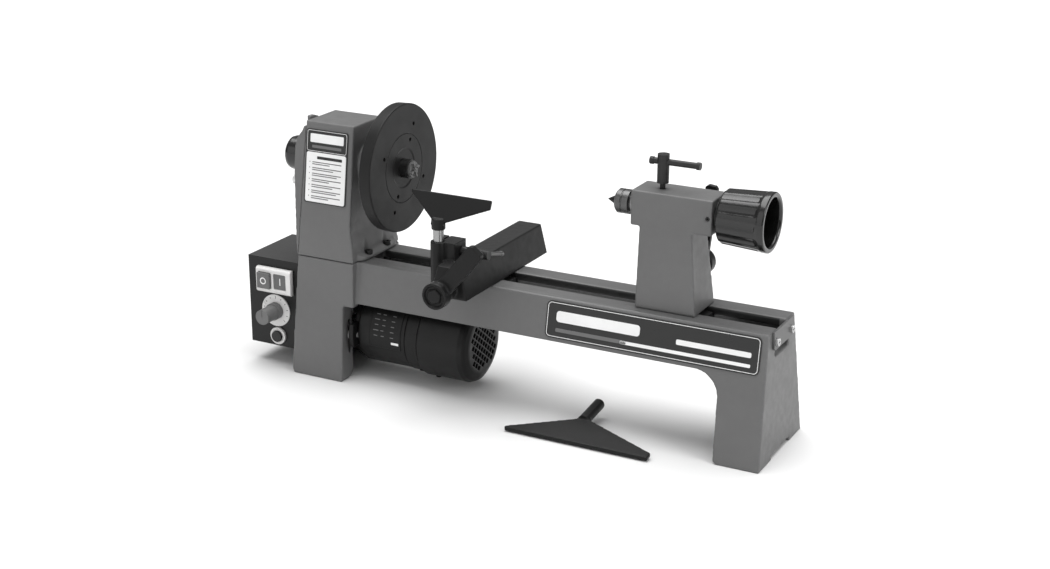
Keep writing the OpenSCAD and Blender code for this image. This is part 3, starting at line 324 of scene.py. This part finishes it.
# stretch of the tool marks around a piece that is long in x, y or z
ALONG_X = (1, 60, 60)
ALONG_Y = (60, 1, 60)
ALONG_Z = (60, 60, 1)
spindle_z = middle("faceplate").z
finishes = {
    "casting_grey": paint("casting_grey", grey(0.115)),
    "bed_grey": paint("bed_grey", grey(0.115), dress=bed_surfaces),
    # dark_casting and box_black get paler tops as painted sheen for the light falling on them
    "dark_casting": paint("dark_casting", grey(0.010), roughness=0.34, peel=1.0 * MM, wear=0.25,
                          specular=0.17, dress=painted_top_sheen(0.024)),
    "box_black": powder_coat("box_black", grey(0.006), painted_top_sheen(0.042)),
    "bright_steel": turned_steel("bright_steel", grey(0.62), ALONG_X),
    "centre_steel": turned_steel("centre_steel", grey(0.11), ALONG_X, roughness=0.3,
                                 line=0.5 * MM),
    "steel_across": turned_steel("steel_across", grey(0.4), ALONG_Y),
    "steel_upright": turned_steel("steel_upright", grey(0.34), ALONG_Z, roughness=0.24),
    "dull_steel": turned_steel("dull_steel", grey(0.22), ALONG_X, roughness=0.36),
    "black_steel": black_oxide("black_steel", grey(0.018)),
    "plate_steel": black_oxide("plate_steel", grey(0.11), roughness=0.42),
    "zinc_plate": black_oxide("zinc_plate", grey(0.5), roughness=0.45),
    "spindle_steel": black_oxide("spindle_steel", grey(0.015), roughness=0.34),
    "faceplate_grey": faced_iron("faceplate_grey", grey(0.012), spindle_z),
    "black_plastic": moulded("black_plastic", grey(0.004), roughness=0.2, coat=0.15),
    "matt_black": moulded("matt_black", grey(0.005), roughness=0.5),
    "motor_black": paint("motor_black", grey(0.007), roughness=0.38, peel=0.8 * MM,
                         depth=0.02 * MM, wear=0.3, specular=0.22),
    "pale_plastic": moulded("pale_plastic", grey(0.68, 0.01), roughness=0.45),
    "knob_grey": moulded("knob_grey", grey(0.13), roughness=0.42),
    "button_grey": moulded("button_grey", grey(0.11), roughness=0.36),
    "label_dark": film("label_dark", grey(0.006)),
    "label_mid": film("label_mid", grey(0.12)),
    "label_pale": film("label_pale", grey(0.82)),
    "rubber_black": rubber("rubber_black", grey(0.012)),
    "circuit_green": circuit_board("circuit_green", (0.01, 0.09, 0.035, 1.0)),
    "winding_copper": winding("winding_copper", (0.5, 0.22, 0.1, 1.0)),
}
# nodes whose finish isn't their slot's: their tool marks run another way, or they are darker,
# brighter or duller than the slot's other nodes
other_finish = {
    "tool_rest_post": "steel_upright", "banjo_cam_shaft": "steel_across",
    "tailstock_cam_shaft": "steel_across", "spindle_shaft": "spindle_steel",
    "bed_casting": "bed_grey", "live_centre_body": "centre_steel",
    "live_centre_tip": "centre_steel", "post_lock_bar": "dull_steel",
    "bed_end_plate": "plate_steel", "reset_button": "matt_black",
    "tailstock_quill": "dull_steel", "motor_bolts": "zinc_plate", "drive_centre": "plate_steel",
    "motor_label": "motor_black", "headstock_label": "label_dark",
}


def finish_of(node):
    return other_finish.get(node, slot_of[node])


def wear_finish(obj, finish):
    obj.data.materials.clear()
    obj.data.materials.append(finishes[finish])


for node, obj in nodes.items():
    wear_finish(obj, finish_of(node))


# ---- cast and moulded bodies ----

def in_scene(name, data):
    obj = bpy.data.objects.new(name, data)
    bpy.context.scene.collection.objects.link(obj)
    return obj


# the slot of a printed finish that has none of its own
print_slot = {"label_mid": "label_pale"}


def new_piece(name, mesh, body, finish, slot=None):
    """Adds a mesh as a piece of the lathe that rides on a body."""
    piece = in_scene(name, mesh)
    wear_finish(piece, finish)
    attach(piece, body)
    slot or print_slot.get(finish, finish)
    return piece


def applied(mesh, kind, weights=None, **settings):
    """The mesh after one modifier, which acts with the given weight on each vertex."""
    work = in_scene("work", mesh)
    modifier = work.modifiers.new("step", kind)
    for key, value in settings.items():
        setattr(modifier, key, value)
    if weights:
        group = work.vertex_groups.new(name="weight")
        for index, weight in enumerate(weights):
            group.add([index], weight, "REPLACE")
        modifier.vertex_group = "weight"
    evaluated = work.evaluated_get(bpy.context.evaluated_depsgraph_get())
    made = bpy.data.meshes.new_from_object(evaluated)
    bpy.data.objects.remove(work)
    return made


def joint_weights(mesh):
    """Little smoothing where the headstock and its belt cover meet, so that no groove shows."""
    low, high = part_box("headstock_casting")
    lean = 4.5 * MM / (high.z - low.z)
    kept_half_width, fade = 1.2 * MM, 4 * MM
    weights = []
    for vertex in mesh.vertices:
        joint_x = low.x + lean * (vertex.co.z - low.z)
        weight = (abs(vertex.co.x - joint_x) - kept_half_width) / fade
        weights.append(min(1.0, max(0.05, weight)))
    return weights


def moulded_copy(node, voxel, passes):
    """Replaces a CAD node by the same shape with rounded edges and filled inner corners."""
    mesh = applied(nodes[node].data.copy(), "REMESH", mode="VOXEL", voxel_size=voxel)
    weights = joint_weights(mesh) if node in ("headstock_casting", "belt_cover") else None
    mesh = applied(mesh, "SMOOTH", weights, factor=0.5, iterations=passes)
    mesh.polygons.foreach_set("use_smooth", [True] * len(mesh.polygons))
    piece = new_piece(node + "_finished", mesh, body_of[node], finish_of(node), slot_of[node])
    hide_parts(node)


# node: size of the remesh cells, and smoothing passes, which together set the edge radius
moulded_nodes = {
    "bed_casting": (1.3 * MM, 5),
    "headstock_casting": (1.2 * MM, 8),
    "belt_cover": (1.0 * MM, 6),
    "tailstock_casting": (1.1 * MM, 7),
    "banjo_casting": (1.0 * MM, 5),
    "banjo_lever": (0.7 * MM, 5),
    "tailstock_lever": (0.7 * MM, 5),
    "tool_rest": (0.8 * MM, 3),
    "spare_tool_rest": (0.8 * MM, 3),
    "tailstock_handwheel": (0.8 * MM, 5),
    "switch_bezel": (0.5 * MM, 4),
}
for node, (voxel, passes) in moulded_nodes.items():
    moulded_copy(node, voxel, passes)


def flexing_belt():
    """The drive belt, which the motor tensions by sliding, copied as one still piece from its CAD
    node.
    """
    node = "drive_belt"
    piece = in_scene(node + "_flexing", nodes[node].data.copy())
    wear_finish(piece, slot_of[node])
    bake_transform(piece)
    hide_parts(node)


flexing_belt()


# ---- label films and marks ----

FILM = 0.06 * MM
LIFT = 0.02 * MM  # gap between a film and the face that it lies on


def on_front_face(node):
    """A function that lays points on a node's largest flat face that looks to the front, and
    that face's width and height."""
    mesh = nodes[node].data
    groups = {}
    for polygon in mesh.polygons:
        if polygon.normal.dot(Vector((0, -1, 0))) > 0.7:
            direction = tuple(round(c, 2) for c in polygon.normal)
            groups.setdefault(direction, []).append(polygon)
    flat = max(groups.values(), key=lambda group: sum(polygon.area for polygon in group))
    out = flat[0].normal.copy()
    across = Vector((1, 0, 0))
    up = out.cross(across).normalized()
    axes = (across, up, out)
    corners = [mesh.vertices[i].co for polygon in flat for i in polygon.vertices]
    spans = [[corner.dot(axis) for corner in corners] for axis in axes]
    centre = sum((axis * (max(s) + min(s)) / 2 for axis, s in zip(axes, spans)), Vector())

    def place(x, y, z):
        return centre + across * x + up * y + out * (z + LIFT)
    return place, [max(s) - min(s) for s in spans[:2]]


def rounded_loop(width, height, radius, centre=(0, 0)):
    """Points around a rounded rectangle."""
    steps = 8
    points = []
    for quarter, (sx, sy) in enumerate(((1, 1), (-1, 1), (-1, -1), (1, -1))):
        for step in range(steps + 1):
            turn = (quarter + step / steps) * math.pi / 2
            points.append((centre[0] + sx * (width / 2 - radius) + radius * math.cos(turn),
                           centre[1] + sy * (height / 2 - radius) + radius * math.sin(turn)))
    return points


def wall(a, b, count):
    """Faces between two loops of count points that start at the indices a and b."""
    return [(a + i, a + (i + 1) % count, b + (i + 1) % count, b + i) for i in range(count)]


def solid_mesh(points, faces):
    mesh = bpy.data.meshes.new("film")
    mesh.from_pydata(points, [], faces)
    mesh.validate()
    mesh.update()
    return mesh


def slab(outer, inner, thickness, place):
    """Mesh of a thin slab between two loops of points, or inside one, laid on a placed plane."""
    count = len(outer)
    if inner:
        loops = [(outer, 0), (inner, 0), (inner, 1), (outer, 1)]
        faces = [face for ring in range(4)
                 for face in wall(ring * count, (ring + 1) % 4 * count, count)]
    else:
        loops = [(outer, 0), (outer, 1)]
        faces = [tuple(reversed(range(count))), tuple(range(count, 2 * count))]
        faces += wall(0, count, count)
    points = [place(x, y, thickness * level) for loop, level in loops for x, y in loop]
    return solid_mesh(points, faces)


def shape(name, node, place, size, radius, finish="label_pale", centre=(0, 0), line=None,
          thickness=FILM, slot=None):
    """A printed rounded rectangle, or only its outline if a line width is given."""
    width, height = size
    outer = rounded_loop(width, height, radius, centre)
    inner = None
    if line:
        inner = rounded_loop(width - 2 * line, height - 2 * line, radius - line, centre)
    new_piece(name, slab(outer, inner, thickness, place), body_of[node], finish, slot)


def bed_label_print():
    """Pale border line, two plain bars at the left and two rules at the right; no words."""
    node = "bed_label"
    place, (width, height) = on_front_face(node)
    margin = 3 * MM
    shape(node + "_border", node, place, (width - margin, height - margin), 4.5 * MM,
          line=0.7 * MM)
    # name, finish, and in shares of the label: middle across and up, length, height
    for name, finish, across, up, length, tall in (
            ("bar", "label_pale", -0.25, 0.1, 0.4, 0.3),
            ("under_bar", "label_mid", -0.28, -0.27, 0.34, 0.1),
            ("rule", "label_pale", 0.29, 0.0, 0.34, 0.14),
            ("long_rule", "label_pale", 0.16, -0.28, 0.6, 0.09)):
        tall *= height
        shape(node + "_" + name, node, place, (width * length, tall), 0.3 * tall, finish,
              (width * across, height * up))


def headstock_label_print():
    """Dark film with a bordered head and a rounded pale panel of plain rules; no words."""
    node = "headstock_label"
    place, (width, height) = on_front_face(node)
    margin, gap = 3 * MM, 1.2 * MM
    head = height * 0.31
    head_y = (height - head) / 2
    shape(node + "_head_border", node, place, (width - margin, head - 2 * gap), 2.6 * MM,
          centre=(0, head_y), line=0.5 * MM)
    shape(node + "_head_bar", node, place, (width * 0.8, head * 0.38), 1.2 * MM,
          centre=(0, head_y + head * 0.12))
    shape(node + "_head_rule", node, place, (width * 0.7, head * 0.12), 0.6 * MM, "label_mid",
          (0, head_y - head * 0.25))
    body = height - head - gap
    body_y = -(height - body) / 2 + gap
    shape(node + "_body", node, place, (width - margin, body), 2.4 * MM, centre=(0, body_y))
    top = body_y + body / 2

    def on_body(x, y, z):
        return place(x, y, z + FILM)
    shape(node + "_title_rule", node, on_body, (width * 0.6, 3.4 * MM), 0.8 * MM, "label_dark",
          (width * 0.08, top - 6 * MM))
    rows = 7
    pitch = (body - 15 * MM) / (rows - 0.5)
    tall, corner = 1.1 * MM, 0.3 * MM
    for row in range(rows):
        y = top - 11.5 * MM - row * pitch
        longer = row % 3
        for name, length, x, down in (
                ("dot", tall, -width * 0.39, 0),
                ("row", width * 0.7, width * 0.02, 0),
                ("second_row", width * (0.42 + 0.09 * longer), -width * (0.12 - 0.045 * longer),
                 2.3 * MM)):
            shape(node + "_" + name + "_" + str(row + 1), node, on_body, (length, tall), corner,
                  "label_mid", (x, y - down), slot="label_dark")


def motor_label_print():
    """A few short marks around the motor's curve."""
    node = "motor_label"
    low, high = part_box(node)
    axis = middle("motor_case")
    reach = max(math.hypot(v.co.y - axis.y, v.co.z - axis.z) for v in nodes[node].data.vertices)
    turns = [math.asin((z - axis.z) / reach) for z in (low.z, high.z)]
    centre = sum(turns) / 2 * reach
    width = high.x - low.x
    height = (turns[1] - turns[0]) * reach

    def place(x, y, z):
        out = reach + LIFT + z
        return Vector(((low.x + high.x) / 2 + x, axis.y - out * math.cos(y / reach),
                       axis.z + out * math.sin(y / reach)))

    def strip(name, x, y, w, h, finish="label_mid"):
        """A thin strip, cut across so that it bends around the motor."""
        steps = max(2, int(h / (1.5 * MM)))
        loop = [(x - w / 2, y - h / 2 + h * i / steps) for i in range(steps, -1, -1)]
        loop += [(x + w / 2, y - h / 2 + h * i / steps) for i in range(steps + 1)]
        count = len(loop)
        points = [place(px, py, level) for level in (0, FILM) for px, py in loop]
        faces = []
        for base in (0, count):
            for i in range(steps):
                quad = (base + i, base + i + 1, base + count - 2 - i, base + count - 1 - i)
                faces.append(quad if base else tuple(reversed(quad)))
        faces += wall(0, count, count)
        new_piece(node + "_" + name, solid_mesh(points, faces), body_of[node], finish)

    tall = 1.0 * MM
    for row in range(5):
        y = centre + height * (0.2 - 0.11 * row)
        number = str(row + 1)
        strip("left_mark_" + number, -width * 0.3, y, width * (0.12 + 0.05 * (row % 2)), tall)
        strip("mark_" + number, -width * (0.1 - 0.02 * (row % 3)), y, width * 0.1, tall)
        strip("right_mark_" + number, width * 0.22, y, width * 0.11, tall)
    strip("block", width * 0.32, centre - height * 0.36, width * 0.24, 3.0 * MM, "label_pale")


def dial_ticks():
    """Ticks around the speed knob, from slow to fast."""
    node = "speed_dial"
    low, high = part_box(node)
    centre = (low + high) / 2
    ring = (high.x - low.x) / 2 - 3.4 * MM
    ticks, first_angle, sweep = 11, 225, 270
    for i in range(ticks):
        turn = math.radians(first_angle - sweep * i / (ticks - 1))
        length = (3.2 if i % 5 == 0 else 2.0) * MM
        out = Vector((math.cos(turn), 0, math.sin(turn)))
        side = Vector((-math.sin(turn), 0, math.cos(turn)))

        def place(x, y, z, out=out, side=side):
            point = centre + out * (ring + x) + side * y
            return Vector((point.x, low.y - 0.01 * MM - z, point.z))
        shape("dial_tick_" + str(i + 1), node, place, (length, 0.7 * MM), 0.2 * MM, "label_dark",
              thickness=0.05 * MM)


def button_marks():
    """Pale ring and bar laid into the switch buttons."""
    recess, thickness = 0.3 * MM, 0.25 * MM
    for node, size, line in (("stop_button", (8.6 * MM, 8.6 * MM), 1.4 * MM),
                             ("start_button", (1.2 * MM, 8.8 * MM), None)):
        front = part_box(node)[0].y
        centre = middle(node)

        def place(x, y, z, front=front, centre=centre):
            return Vector((centre.x + x, front + recess - z, centre.z + y))
        shape(node + "_mark", node, place, size, size[0] / 2 - 0.001 * MM, line=line,
              thickness=thickness)


bed_label_print()
headstock_label_print()
motor_label_print()
dial_ticks()
button_marks()


# ---- studio ----

def floor():
    """Plain pale floor, far larger than the view, just under the feet."""
    reach, drop = 14.0, 0.4 * MM
    mesh = bpy.data.meshes.new("floor")
    corners = [(-reach, -reach, 0), (reach, -reach, 0), (reach, reach, 0), (-reach, reach, 0)]
    mesh.from_pydata(corners, [], [(0, 1, 2, 3)])
    obj = in_scene("floor", mesh)
    obj.location.z = -drop
    f = Finish("floor_white")
    colour = grey(0.72)
    base = f.mix(f.noise(0.8), shade(colour, 0.99), shade(colour, 1.01))
    mesh.materials.append(f.done(base, 0.8, specular=0.1))


def soft_light(name, towards, strength, spread):
    """A far, wide light that shines from the given direction with soft shadows."""
    light = bpy.data.lights.new(name, "SUN")
    light.energy = strength
    light.angle = math.radians(spread)
    in_scene(name, light).rotation_euler = Vector(towards).to_track_quat("Z", "Y").to_euler()


def sky():
    """White to the camera. As light it is dim near the horizon, so dark parts keep their depth."""
    world = bpy.data.worlds.new("studio")
    bpy.context.scene.world = world
    world.use_nodes = True
    n = Nodes(world.node_tree)
    direction = n.node("ShaderNodeTexCoord").outputs["Generated"]
    height = n.node("ShaderNodeSeparateXYZ", {0: direction}).outputs[2]
    glow = n.span(height, 0.1, 0.5, start=-0.1, end=0.9)
    seen = n.node("ShaderNodeLightPath").outputs["Is Camera Ray"]
    shell = world.node_tree.nodes["Background"]
    n.feed(shell.inputs["Strength"], n.math("MAXIMUM", glow, seen))
    n.feed(shell.inputs["Color"], grey(1.0))


def camera():
    """Camera at the height and angle of a catalogue picture, from the front right."""
    place = (0.8425, -1.65886, 0.78927)
    yaw, pitch, roll = 0.47751, -0.33539, 0.005983
    focal_length, sensor_width = 59.752, 36
    forward = Vector((-math.sin(yaw) * math.cos(pitch), math.cos(yaw) * math.cos(pitch),
                      math.sin(pitch)))
    level = Vector((math.cos(yaw), math.sin(yaw), 0))
    upright = level.cross(forward)
    right = math.cos(roll) * level + math.sin(roll) * upright
    up = math.cos(roll) * upright - math.sin(roll) * level
    lens = bpy.data.cameras.new("camera")
    lens.lens = focal_length
    lens.sensor_width = sensor_width
    obj = in_scene("camera", lens)
    turn = Matrix((right, up, -forward)).transposed().to_4x4()
    obj.matrix_world = Matrix.Translation(place) @ turn
    bpy.context.scene.camera = obj


floor()
sky()
soft_light("overhead", (-0.1, 0.15, 1.0), strength=3.5, spread=60)
soft_light("side", (1.0, -0.15, 0.6), strength=1.1, spread=30)
soft_light("front", (-0.3, -1.0, 0.4), strength=0.75, spread=60)
camera()
bpy.context.scene.view_settings.view_transform = "Standard"
